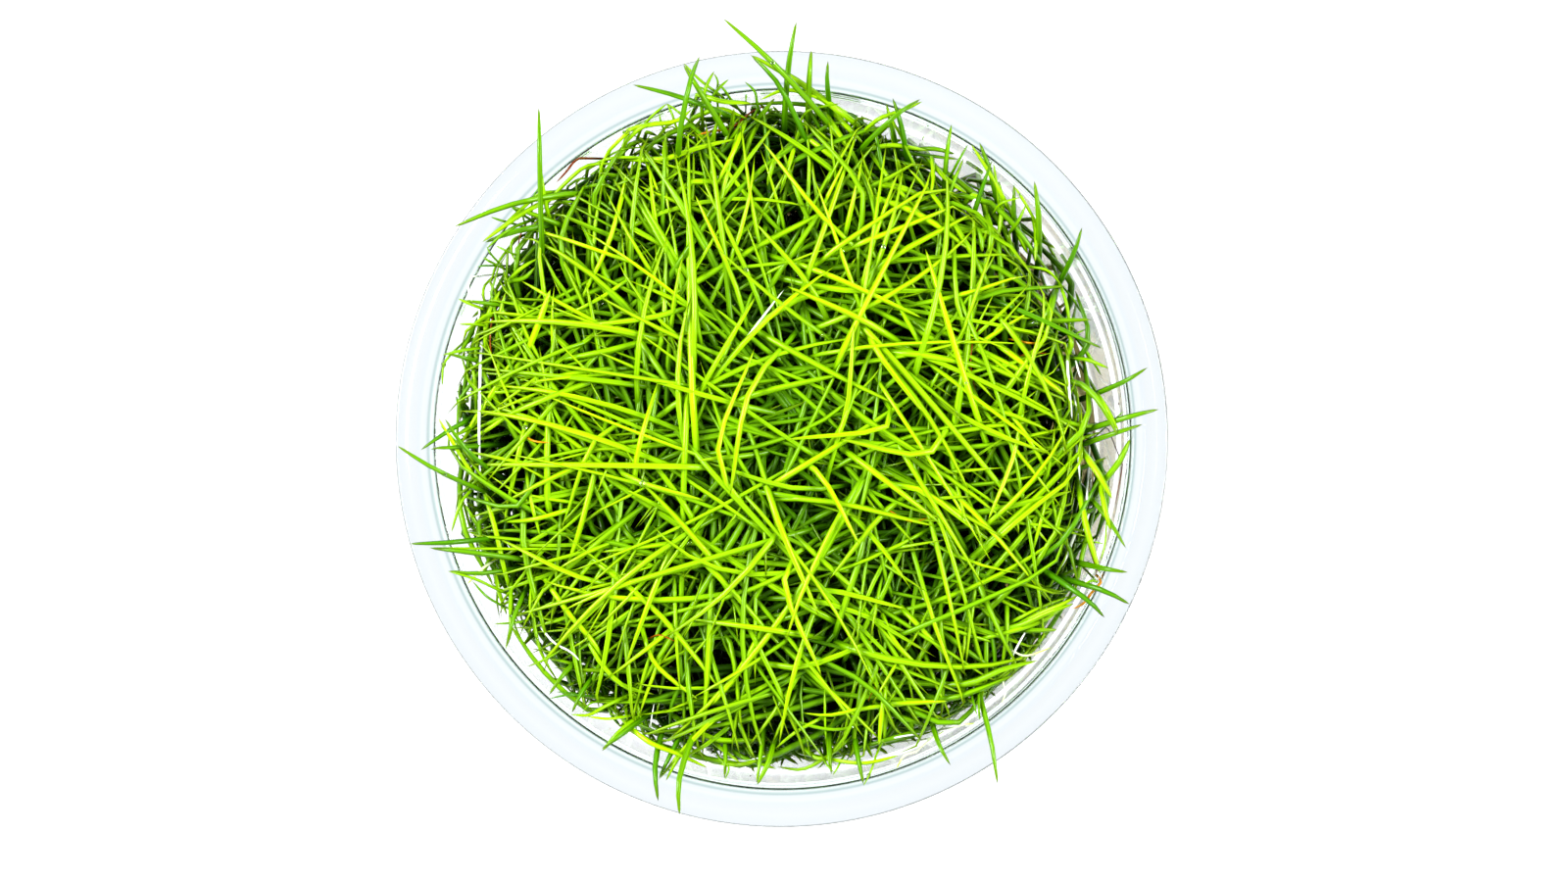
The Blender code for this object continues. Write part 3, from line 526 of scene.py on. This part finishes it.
def grown_leaf(rng, crown, lean):
    """A leaf that rises from beside the crown, bends over and lies down under the sward's top."""
    shares = [height for height, _ in NEEDLE_RINGS]
    steps = np.linspace(0, 1, 41)
    while True:
        turn = rng.uniform(0, 2 * math.pi)
        reach = TUFT_SPREAD * math.sqrt(rng.random())
        root = np.array((crown[0] + reach * math.cos(turn), crown[1] + reach * math.sin(turn), GEL_TOP))
        if math.hypot(root[0], root[1]) > 35.5 * MM:
            continue
        heading = lean + rng.gauss(0, 1.0) if rng.random() < 0.5 else rng.uniform(0, 2 * math.pi)
        bend_from = rng.uniform(0.28, 0.55)
        bend_to = bend_from + rng.uniform(0.16, 0.34)
        last = math.radians(min(rng.gauss(84, 9), 100))
        first = math.radians(rng.uniform(2, 14))
        lie = first + (last - first) * smoothstep(bend_from, bend_to, steps)
        bearing = heading + rng.gauss(0, 0.6) * steps + rng.gauss(0, 0.3) * np.sin(3 * steps)
        stride = np.stack(
            (np.sin(lie) * np.cos(bearing), np.sin(lie) * np.sin(bearing), np.cos(lie)), axis=1
        )
        rise = np.concatenate([[(0, 0, 0)], np.cumsum((stride[1:] + stride[:-1]) / 2, axis=0)]) / 40
        depth = min(rng.gammavariate(1.25, 3.4) * MM, 30 * MM)
        height = dome(min(math.hypot(root[0], root[1]), 38 * MM)) - depth - root[2]
        path = root + rise * height / rise[:, 2].max()
        outer = np.hypot(path[:, 0], path[:, 1])
        if outer.max() < 46 * MM:
            break
    clear = 4 * MM * bare_wall(math.atan2(path[-1][1], path[-1][0]))
    limit = inner_radius(path[:, 2]) - rng.uniform(0.9, 2.5) * MM - clear
    path[:, :2] *= np.minimum(1, limit / np.maximum(outer, 1e-6))[:, None]
    reach = np.hypot(path[:, 0], path[:, 1])
    path[:, 2] = np.minimum(path[:, 2], dome(reach) - min(depth, 3 * MM) / 2)
    return along(path, shares)


def traced_leaf(rng, row):
    """A leaf that rises from behind its first known place and passes through them all to its tip."""
    places = [np.array((x, y, 0)) * MM for x, y in zip(row[:-2:2], row[1:-2:2])]
    back = places[0] - places[1]
    back /= np.linalg.norm(back)
    root = places[0] + back * rng.uniform(6, 15) * MM
    knee = places[0] + back * rng.uniform(2, 5) * MM
    points = [root, knee, *places]
    depth = rng.uniform(0.2, 1.2) * MM + row[-1] * 1.5 * MM
    tip_drop = rng.uniform(-0.5, 1.5) * MM
    lift = 0
    if math.hypot(*places[-1][:2]) > 41 * MM:
        lift = 2 * MM + depth
        tip_drop = 0
    drops = (0, 9 * MM, 1.2 * MM, *[0] * (len(places) - 2), tip_drop)
    for point, drop in zip(points, drops):
        reach = math.hypot(point[0], point[1])
        point[2] = dome(min(reach, MOUTH_RADIUS)) - depth - drop
        point[2] += lift * smoothstep(36 * MM, 41.5 * MM, reach)
        if point[2] < CUP_HEIGHT:
            point[:2] *= min(1, (inner_radius(point[2]) - 0.9 * MM) / max(reach, 1e-6))
    root[2] = GEL_TOP
    root[:2] *= min(1, 35.5 * MM / max(math.hypot(root[0], root[1]), 1e-6))
    lengths = np.cumsum([math.dist(a, b) for a, b in zip(points, points[1:])])
    rise = lengths[1] / lengths[-1]
    return along(points, np.interp([height for height, _ in NEEDLE_RINGS], (0, 0.42, 1), (0, rise, 1)))


def short_leaf(rng, crown):
    """A young upright leaf, low in the sward."""
    shares = [height for height, _ in NEEDLE_RINGS]
    turn = rng.uniform(0, 2 * math.pi)
    reach = 1.1 * TUFT_SPREAD * math.sqrt(rng.random())
    root = np.array((crown[0] + reach * math.cos(turn), crown[1] + reach * math.sin(turn), GEL_TOP))
    root[:2] *= min(1, 36 * MM / math.hypot(root[0], root[1]))
    height = rng.uniform(14, 36) * MM
    heading = rng.uniform(0, 2 * math.pi)
    away = np.array((math.cos(heading), math.sin(heading), 0))
    middle = root + away * height * rng.uniform(0.0, 0.12) + (0, 0, 0.6 * height)
    tip = root + away * height * rng.uniform(0.2, 0.9) + (0, 0, height)
    for point in (middle, tip):
        clear = 4 * MM * bare_wall(math.atan2(point[1], point[0]))
        limit = inner_radius(point[2]) - 1.2 * MM - clear
        point[:2] *= min(1, limit / math.hypot(point[0], point[1]))
    return along([root, middle, tip], shares)


def wall_leaf(rng, angle):
    """A leaf that climbs just inside the wall, then lies along it."""
    shares = [height for height, _ in NEEDLE_RINGS]
    gap = rng.uniform(1.0, 5.0) * MM + 4 * MM * bare_wall(angle)
    top = rng.triangular(34, 61, 53) * MM
    drift = rng.choice((-1, 1)) * rng.uniform(0.08, 0.6)
    points = []
    for share, turn in ((0.0, 0.0), (0.55, 0.04), (0.86, 0.3), (1.0, 1.0)):
        z = GEL_TOP + share * (top - GEL_TOP)
        reach = float(inner_radius(z)) - gap * (1.3 - 0.3 * share)
        bearing = angle + drift * turn
        points.append(np.array((reach * math.cos(bearing), reach * math.sin(bearing), z)))
    points[-1][:2] *= 1 - rng.uniform(-0.8, 4) * MM / math.hypot(*points[-1][:2])
    return along(points, blunt(shares))


def leaning_leaf(rng, angle):
    """A leaf that leans out from among the others until its tip is near the wall or over it."""
    shares = [height for height, _ in NEEDLE_RINGS]
    top = rng.triangular(42, 61, 56) * MM
    start = rng.uniform(26, 34) * MM
    end = float(inner_radius(top)) - rng.uniform(0.6, 3.0) * MM - 3.5 * MM * bare_wall(angle)
    drift = rng.gauss(0, 0.2)
    points = []
    for share, out, turn in ((0.0, 0.0, 0.0), (0.6, 0.2, 0.1), (0.9, 0.6, 0.5), (1.0, 1.0, 1.0)):
        z = GEL_TOP + share * (top - GEL_TOP)
        reach = start + (end - start) * out
        bearing = angle + drift * turn
        points.append(np.array((reach * math.cos(bearing), reach * math.sin(bearing), z)))
    return along(points, blunt(shares))


def carried_frames(path, turn):
    """Two directions square to the path at each of its points, carried along it without a twist."""
    ahead = np.gradient(path, axis=0)
    ahead /= np.linalg.norm(ahead, axis=1)[:, None]
    side = np.cross(ahead[0], (math.sin(turn), math.cos(turn), 0.3))
    sides = []
    for direction in ahead:
        side = side - direction * (side @ direction)
        side /= np.linalg.norm(side)
        sides.append(side)
    sides = np.array(sides)
    return sides, np.cross(ahead, sides)


def painted_leaf_shade(points):
    """How near to the light each point is, painted as shade into the leaves' colour: 1 on the sward's top
    and on the brim, up to 0.8 near the wall, 0 deep inside.
    """
    reach = np.hypot(points[:, 0], points[:, 1])
    below = np.maximum(dome(np.minimum(reach, MOUTH_RADIUS)) - points[:, 2], 0)
    inside = np.maximum(inner_radius(points[:, 2]) - reach, 0)
    from_top = np.exp(-below / (5.5 * MM))
    from_side = 0.8 * np.exp(-inside / (8.0 * MM))
    return np.maximum(from_top, from_side)


def leaf_piece(name, needle, leaves, material):
    """Copies of the needle in one mesh. Each leaf is (path, half width, turn, deepness, wither)."""
    form = np.array([vert.co for vert in needle.data.vertices])
    heights = np.array([height for height, _ in NEEDLE_RINGS])
    ring = np.abs(form[:, 2][:, None] - heights[None, :]).argmin(axis=1)
    faces = [tuple(face.vertices) for face in needle.data.polygons]
    corners = needle_corners(needle, form)
    verts, tones = [], []
    for path, half_width, turn, deepness, wither in leaves:
        sides, ups = carried_frames(path, turn)
        outwards = form[:, :1] * sides[ring] + form[:, 1:2] * ups[ring]
        points = path[ring] + half_width * outwards
        upper = outwards[:, 2] / np.maximum(np.linalg.norm(outwards, axis=1), 1e-6)
        verts.append(points)
        tone = np.empty((len(points), 4))
        tone[:, 0] = heights[ring]
        # Painted shade in the green channel: darker deep in the sward and away from the wall, and darker on
        # the side of a leaf that faces down than on the side that faces up.
        tone[:, 1] = painted_leaf_shade(points) * (0.82 + 0.18 * upper)
        tone[:, 2] = deepness
        tone[:, 3] = wither
        tones.append(tone)
    mesh = bpy.data.meshes.new(name)
    every_face = []
    for i in range(len(leaves)):
        every_face += [tuple(v + i * len(form) for v in face) for face in faces]
    mesh.from_pydata(np.concatenate(verts), [], every_face)
    mesh.uv_layers.new(name="leaf_skin").data.foreach_set("uv", np.tile(corners, len(leaves)))
    shades = mesh.color_attributes.new(name="leaf_tone_and_painted_shade", type="FLOAT_COLOR", domain="POINT")
    shades.data.foreach_set("color", np.concatenate(tones).ravel())
    mesh.shade_smooth()
    mesh.materials.append(material)
    piece = bpy.data.objects.new(name, mesh)
    bpy.context.scene.collection.objects.link(piece)
    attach(piece, "root")
    return piece


def needle_corners(needle, form):
    """Each face corner's place on the leaf's skin: round it, then along it."""
    corners = []
    for face in needle.data.polygons:
        rounds = [math.atan2(form[v][1], form[v][0]) / (2 * math.pi) % 1 for v in face.vertices]
        for v, share in zip(face.vertices, rounds):
            if max(rounds) - min(rounds) > 0.5 and share < 0.5:
                share += 1
            corners += [share, form[v][2]]
    return np.array(corners)


# Materials


def new_material(name):
    material = bpy.data.materials.new(name)
    material.use_nodes = True
    return material, material.node_tree.nodes["Principled BSDF"]


def node(material, kind, settings=(), inputs=(), links=()):
    """Adds a node with its settings, its plain inputs and its links from other sockets."""
    new = material.node_tree.nodes.new(kind)
    for key, value in dict(settings).items():
        setattr(new, key, value)
    for key, value in dict(inputs).items():
        new.inputs[key].default_value = value
    for key, socket in dict(links).items():
        material.node_tree.links.new(socket, new.inputs[key])
    return new


def link(material, socket, shader, key):
    material.node_tree.links.new(socket, shader.inputs[key])


def ramp(material, factor, stops):
    new = node(material, "ShaderNodeValToRGB", links={"Fac": factor})
    elements = new.color_ramp.elements
    for place, code in stops[1:-1]:
        elements.new(place)
    for element, (place, code) in zip(elements, stops):
        element.position = place
        element.color = srgb(code)
    return new.outputs["Color"]


def mixed(material, factor, a, b):
    new = node(material, "ShaderNodeMix", {"data_type": "RGBA"})
    for key, value in (("Factor", factor), (6, a), (7, b)):
        if hasattr(value, "links"):
            link(material, value, new, key)
        else:
            new.inputs[key].default_value = value
    return new.outputs[2]


def living_leaf():
    """Waxy skin of a living needle leaf, with fine ribs along it: painted shade makes it bright on the
    sward's top and dark deep inside.
    """
    material, shader = new_material("living_leaf")
    tone = node(material, "ShaderNodeAttribute", {"attribute_name": "leaf_tone_and_painted_shade"})
    parts = node(material, "ShaderNodeSeparateColor", links={"Color": tone.outputs["Color"]})
    # Painted shade: these greens run from near black deep in the sward to bright yellow-green on its top,
    # and a green leaf's blue channel, its darkness, mixes in darker greens as further painted shade with a
    # random spread of tone.
    fresh = ramp(
        material,
        parts.outputs["Green"],
        ((0.0, "#010300"), (0.2, "#122A02"), (0.45, "#5C9402"), (0.7, "#A2DA02"), (1.0, "#C0F002")),
    )
    deep = ramp(
        material,
        parts.outputs["Green"],
        ((0.0, "#020600"), (0.25, "#163802"), (0.6, "#386E02"), (1.0, "#589602")),
    )
    green = mixed(material, parts.outputs["Blue"], fresh, deep)
    dead = ramp(material, parts.outputs["Blue"], ((0.0, "#D89A10"), (0.35, "#A85A0C"), (1.0, "#5A1206")))
    tipped = ramp(material, parts.outputs["Red"], ((0.9, "#000000"), (1.0, "#B4B4B4")))
    green = mixed(material, tipped, green, srgb("#6A5C06"))
    alive = mixed(material, tone.outputs["Alpha"], green, dead)
    skin = node(material, "ShaderNodeUVMap", {"uv_map": "leaf_skin"})
    stretched = node(
        material, "ShaderNodeMapping", {}, {"Scale": (9, 1.5, 1)}, {"Vector": skin.outputs["UV"]}
    )
    ribs = node(
        material,
        "ShaderNodeTexNoise",
        {},
        {"Scale": 1.0, "Detail": 2.0},
        {"Vector": stretched.outputs["Vector"]},
    )
    lines = ramp(material, ribs.outputs["Fac"], ((0.35, "#9A9A9A"), (0.65, "#FFFFFF")))
    ribbed = node(
        material,
        "ShaderNodeMix",
        {"data_type": "RGBA", "blend_type": "MULTIPLY"},
        {0: 0.7},
        {6: alive, 7: lines},
    )
    link(material, ribbed.outputs[2], shader, "Base Color")
    bump = node(
        material,
        "ShaderNodeBump",
        {},
        {"Strength": 0.35, "Distance": 0.05 * MM},
        {"Height": ribs.outputs["Fac"]},
    )
    link(material, bump.outputs["Normal"], shader, "Normal")
    shader.inputs["Roughness"].default_value = 0.16
    shader.inputs["Specular IOR Level"].default_value = 0.28
    shader.inputs["IOR"].default_value = 1.40
    return material


def clear_cup():
    """Clear moulded polystyrene: faintly blue in the brim, partly its own tint and partly painted shade,
    with painted grey-green refraction lines where the mouth turns down.
    """
    material, shader = new_material("moulded_polystyrene")
    shader.inputs["Transmission Weight"].default_value = 1.0
    shader.inputs["IOR"].default_value = 1.32
    place = node(material, "ShaderNodeTexCoord").outputs["Object"]
    flat = node(material, "ShaderNodeVectorMath", {"operation": "MULTIPLY"}, {1: (1, 1, 0)}, {0: place})
    reach = node(material, "ShaderNodeVectorMath", {"operation": "LENGTH"}, {}, {0: flat.outputs[0]})
    across = node(
        material,
        "ShaderNodeMapRange",
        {},
        {"From Min": 41 * MM, "From Max": 48 * MM},
        {"Value": reach.outputs["Value"]},
    )
    # Painted refraction lines over the mouth and painted shade over the brim, used only above the height
    # where the brim begins.
    tint_and_painted_lines = ramp(material, across.outputs["Result"], BRIM_TINT_AND_PAINTED_LINES)
    height = node(material, "ShaderNodeSeparateXYZ", links={"Vector": place})
    in_brim = node(
        material,
        "ShaderNodeMapRange",
        {},
        {"From Min": 56.9 * MM, "From Max": 57.1 * MM},
        {"Value": height.outputs["Z"]},
    )
    link(material, mixed(material, in_brim.outputs["Result"], srgb("#F8FBFD"), tint_and_painted_lines), shader, "Base Color")
    scuffs = node(material, "ShaderNodeTexNoise", {}, {"Scale": 160.0, "Detail": 3.0}, {"Vector": place})
    worn = node(
        material,
        "ShaderNodeMapRange",
        {},
        {"From Min": 0.4, "From Max": 0.8, "To Min": 0.01, "To Max": 0.06},
        {"Value": scuffs.outputs["Fac"]},
    )
    link(material, worn.outputs["Result"], shader, "Roughness")
    return material


def set_gel():
    """Agar set firm: milky, a little yellow, and clear enough to show the roots near its side."""
    material, shader = new_material("set_agar")
    place = node(material, "ShaderNodeTexCoord")
    clouds = node(
        material,
        "ShaderNodeTexNoise",
        {},
        {"Scale": 120.0, "Detail": 3.0},
        {"Vector": place.outputs["Object"]},
    )
    milk = ramp(material, clouds.outputs["Fac"], ((0.3, "#C2B87C"), (0.7, "#D6CE9A")))
    link(material, milk, shader, "Base Color")
    shader.inputs["Transmission Weight"].default_value = 0.6
    shader.inputs["IOR"].default_value = 1.34
    shader.inputs["Roughness"].default_value = 0.12
    cloud = node(
        material, "ShaderNodeVolumeAbsorption", {}, {"Color": srgb("#C9BE8C"), "Density": 90.0}
    )
    link(material, cloud.outputs["Volume"], material.node_tree.nodes["Material Output"], "Volume")
    return material


def young_root():
    """Young roots: white and soft, a little brown at the crown."""
    material, shader = new_material("young_root")
    tone = node(material, "ShaderNodeAttribute", {"attribute_name": "leaf_tone_and_painted_shade"})
    parts = node(material, "ShaderNodeSeparateColor", links={"Color": tone.outputs["Color"]})
    pale = ramp(material, parts.outputs["Red"], ((0.0, "#B9A878"), (0.3, "#E6DDBE"), (1.0, "#F6F2E4")))
    link(material, pale, shader, "Base Color")
    shader.inputs["Roughness"].default_value = 0.5
    return material


def pale_shoot():
    """Glassy and almost white, its tip yellow-green: shoots that grew without light, and painted highlights
    where light streaks along the wall and on a leaf.
    """
    material, shader = new_material("pale_shoot")
    tone = node(material, "ShaderNodeAttribute", {"attribute_name": "leaf_tone_and_painted_shade"})
    parts = node(material, "ShaderNodeSeparateColor", links={"Color": tone.outputs["Color"]})
    glassy = ramp(material, parts.outputs["Red"], ((0.0, "#DCE4C8"), (0.5, "#EEF2E8"), (1.0, "#F6F8F4")))
    green = ramp(material, parts.outputs["Red"], ((0.0, "#DCE4C8"), (0.7, "#D8E4B0"), (0.95, "#A8C820")))
    link(material, mixed(material, parts.outputs["Blue"], glassy, green), shader, "Base Color")
    shader.inputs["Roughness"].default_value = 0.3
    return material


def dew_water():
    """Clear drops that flash where they catch a light."""
    material, shader = new_material("dew_water")
    shader.inputs["Transmission Weight"].default_value = 1.0
    shader.inputs["IOR"].default_value = 1.333
    shader.inputs["Roughness"].default_value = 0.0
    return material


def white_floor():
    """A lit white table: it gives an even white from every side."""
    material, shader = new_material("lit_white_table")
    shader.inputs["Base Color"].default_value = srgb("#383838")
    shader.inputs["Roughness"].default_value = 1.0
    shader.inputs["Specular IOR Level"].default_value = 0.0
    shader.inputs["Emission Color"].default_value = srgb("#FFFFFF")
    shader.inputs["Emission Strength"].default_value = 1.3
    return material


# The cup and the gel

polystyrene = clear_cup()
cup = turned("clear_cup", cup_profile(), CUP_STEPS)
bpy.ops.object.shade_smooth_by_angle(angle=math.radians(25))
cup.data.materials.append(polystyrene)
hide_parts("cup")
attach(cup, "root")

gel = turned("gel_slab", gel_profile(), 96)
bpy.ops.object.shade_smooth_by_angle(angle=math.radians(40))
gel.data.materials.append(set_gel())
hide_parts("agar_gel")
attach(gel, "root")

# The tufts

needle = needle_form()
leaf_skin = living_leaf()
rng = random.Random(SEED)
shares = [height for height, _ in NEEDLE_RINGS]
tufts = sorted(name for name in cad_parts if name.startswith("spikerush_tuft"))
read = {name: solid_leaves(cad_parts[name]) for name in tufts}
crowns = [crown for crown, _ in read.values()]
traced = {name: [] for name in tufts}
for row in read_leaves(RIM_LEAVES):
    path = traced_leaf(rng, row)
    nearest = min(tufts, key=lambda name: math.dist(read[name][0][:2], path[0][:2]))
    traced[nearest].append((path, FULLNESS * row[-2] / 2 * MM, rng.uniform(0, 6.28), row[-1], 0))
wall_paths = {name: [] for name in tufts}
upper = []
for grow, count in ((wall_leaf, WALL_LEAVES), (leaning_leaf, LEANING_LEAVES)):
    for i in range(count):
        path = grow(rng, 2 * math.pi * (i + rng.random()) / count)
        nearest = min(tufts, key=lambda name: math.dist(read[name][0][:2], path[0][:2]))
        wall_paths[nearest].append(path)
for name, (crown, lines) in read.items():
    leaves = traced[name]
    for line in lines:
        path = along(line, blunt(shares))
        # Leaves that reach towards and over the brim get a darker green: painted shade, with a random
        # spread of tone.
        over = float(smoothstep(34 * MM, 42 * MM, math.hypot(*path[-1][:2])))
        deepness = 0.15 + 0.75 * over + rng.uniform(-0.15, 0.15)
        leaves.append((path, LEAF_RADIUS * rng.uniform(0.75, 0.95), rng.uniform(0, 6.28), deepness, 0))
    lean = rng.uniform(0, 2 * math.pi)
    paths = [grown_leaf(rng, crown, lean) for _ in range(LYING_LEAVES)]
    paths += [short_leaf(rng, crown) for _ in range(SHORT_LEAVES)]
    paths += wall_paths[name]
    for path in paths:
        # Leaves that end near the wall get a darker green: painted shade, with a random spread of tone.
        over = float(smoothstep(30 * MM, 41 * MM, math.hypot(*path[-3][:2])))
        deepness = 0.1 + 0.5 * over + rng.uniform(-0.1, 0.3)
        half_width = LEAF_RADIUS * rng.uniform(0.55, 1.0)
        leaves.append((path, half_width, rng.uniform(0, 6.28), deepness, 0))
    upper += [leaf for leaf in leaves if leaf[0][8][2] > 55 * MM]
    piece = leaf_piece(name.replace("spikerush_tuft", "tuft_leaves"), needle, leaves, leaf_skin)
    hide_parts(name)

# Dead leaves, and flecks of them that stick to the neck

dead = [
    (traced_leaf(rng, row), row[-2] / 2 * MM, rng.uniform(0, 6.28), row[-1], 1)
    for row in read_leaves(DEAD_LEAVES)
]
for across, down, length, width, tone in FLECKS:
    outwards = seen_at_height(across, down, FLECK_HEIGHT).normalized()
    z = np.linspace(0, length, 3) * MM + FLECK_HEIGHT
    reach = inner_radius(z) - 0.2 * MM
    line = np.stack((reach * outwards.x, reach * outwards.y, z), axis=1)
    dead.append((along(line, shares), width / 2 * MM, 0, tone, 1))
leaf_piece("dead_leaves", needle, dead, leaf_skin)

# Near-white leaves: shoots that grew without colour, and painted highlights where light streaks along the
# wall and on a leaf

pale = [
    (traced_leaf(rng, row), row[-2] / 2 * MM, rng.uniform(0, 6.28), row[-1], 0)
    for row in read_leaves(PALE_SHOOTS_AND_PAINTED_HIGHLIGHTS)
]
leaf_piece("pale_shoots", needle, pale, pale_shoot())

# Dew on the upper leaves

deselect_all()
bpy.ops.mesh.primitive_ico_sphere_add(subdivisions=2, radius=1)
drop = bpy.context.object
drop_form = np.array([vert.co for vert in drop.data.vertices])
drop_faces = [tuple(face.vertices) for face in drop.data.polygons]
bpy.data.objects.remove(drop)
dew_verts, dew_faces = [], []
for i, (path, half_width, *_) in enumerate(rng.sample(upper, DEW_DROPS)):
    radius = rng.uniform(0.16, 0.36) * MM
    centre = path[rng.randrange(6, 10)] + (0, 0, half_width * 0.8)
    dew_verts.append(centre + radius * drop_form * (1, 1, 0.8))
    dew_faces += [tuple(v + i * len(drop_form) for v in face) for face in drop_faces]
dew_mesh = bpy.data.meshes.new("dew_drops")
dew_mesh.from_pydata(np.concatenate(dew_verts), [], dew_faces)
dew_mesh.shade_smooth()
dew_mesh.materials.append(dew_water())
dew = bpy.data.objects.new("dew_drops", dew_mesh)
bpy.context.scene.collection.objects.link(dew)
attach(dew, "root")

# The roots in the gel

root_paths = []
for crown in crowns:
    for _ in range(11):
        turn = rng.uniform(0, 2 * math.pi)
        reach = rng.uniform(1, 6) * MM
        start = crown + np.array((1.2 * MM * math.cos(turn), 1.2 * MM * math.sin(turn), 0))
        end = start + np.array((reach * math.cos(turn), reach * math.sin(turn), 0))
        end[2] = rng.uniform(1.6, 7.0) * MM
        middle = (start + end) / 2
        middle[:2] = start[:2] + (end - start)[:2] * rng.uniform(0.6, 0.9)
        out = math.hypot(end[0], end[1])
        end[:2] *= min(1, 34.5 * MM / out)
        path = along([start, middle, end], shares)
        root_paths.append((path, rng.uniform(0.12, 0.22) * MM, turn, 0, 0))
roots = leaf_piece("gel_roots", needle, root_paths, young_root())
bpy.data.objects.remove(needle)

# The floor, the lights and the camera

deselect_all()
bpy.ops.mesh.primitive_plane_add(size=6)
floor = bpy.context.object
floor.name = "white_table"
floor.data.materials.append(white_floor())

world = bpy.data.worlds.new("studio")
bpy.context.scene.world = world
world.use_nodes = True
sky = world.node_tree.nodes["Background"]
round_about = node(world, "ShaderNodeTexCoord")
heights = node(world, "ShaderNodeSeparateXYZ", links={"Vector": round_about.outputs["Generated"]})
glow = ramp(world, heights.outputs["Z"], ((0.0, "#E6ECF2"), (0.35, "#C0C6CC"), (1.0, "#9AA0A8")))
link(world, glow, sky, "Color")
sky.inputs["Strength"].default_value = 1.5
bpy.context.scene.cycles.max_bounces = 128
bpy.context.scene.cycles.transmission_bounces = 128
bpy.context.scene.cycles.glossy_bounces = 128


def softbox(name, place, target, size, power):
    deselect_all()
    bpy.ops.object.light_add(type="AREA", location=place)
    light = bpy.context.object
    light.name = name
    light.data.shape = "RECTANGLE"
    light.data.size, light.data.size_y = size
    light.data.energy = power
    aim = Vector(target) - Vector(place)
    light.rotation_mode = "QUATERNION"
    light.rotation_quaternion = aim.to_track_quat("-Z", "Y")
    return light


softbox("left_softbox", (-0.75, 0.25, 0.80), (0, 0, 0.05), (0.5, 0.5), 17)
softbox("right_softbox", (0.80, 0.1, 0.75), (0, 0, 0.05), (0.5, 0.5), 13)

deselect_all()
bpy.ops.object.camera_add(location=CAMERA_PLACE)
camera = bpy.context.object
camera_axes = Matrix((CAMERA_RIGHT, CAMERA_UP, CAMERA_BACK))
camera.rotation_mode = "QUATERNION"
camera.rotation_quaternion = camera_axes.transposed().to_quaternion()
camera.data.sensor_width = 36
camera.data.lens = 36 * (CAMERA_PLACE - CAMERA_AIM).length / RIM_VIEW_WIDTH
camera.data.clip_end = 20
bpy.context.scene.camera = camera
bpy.context.scene.view_settings.view_transform = "Standard"
bpy.context.scene.view_settings.look = "Medium High Contrast"
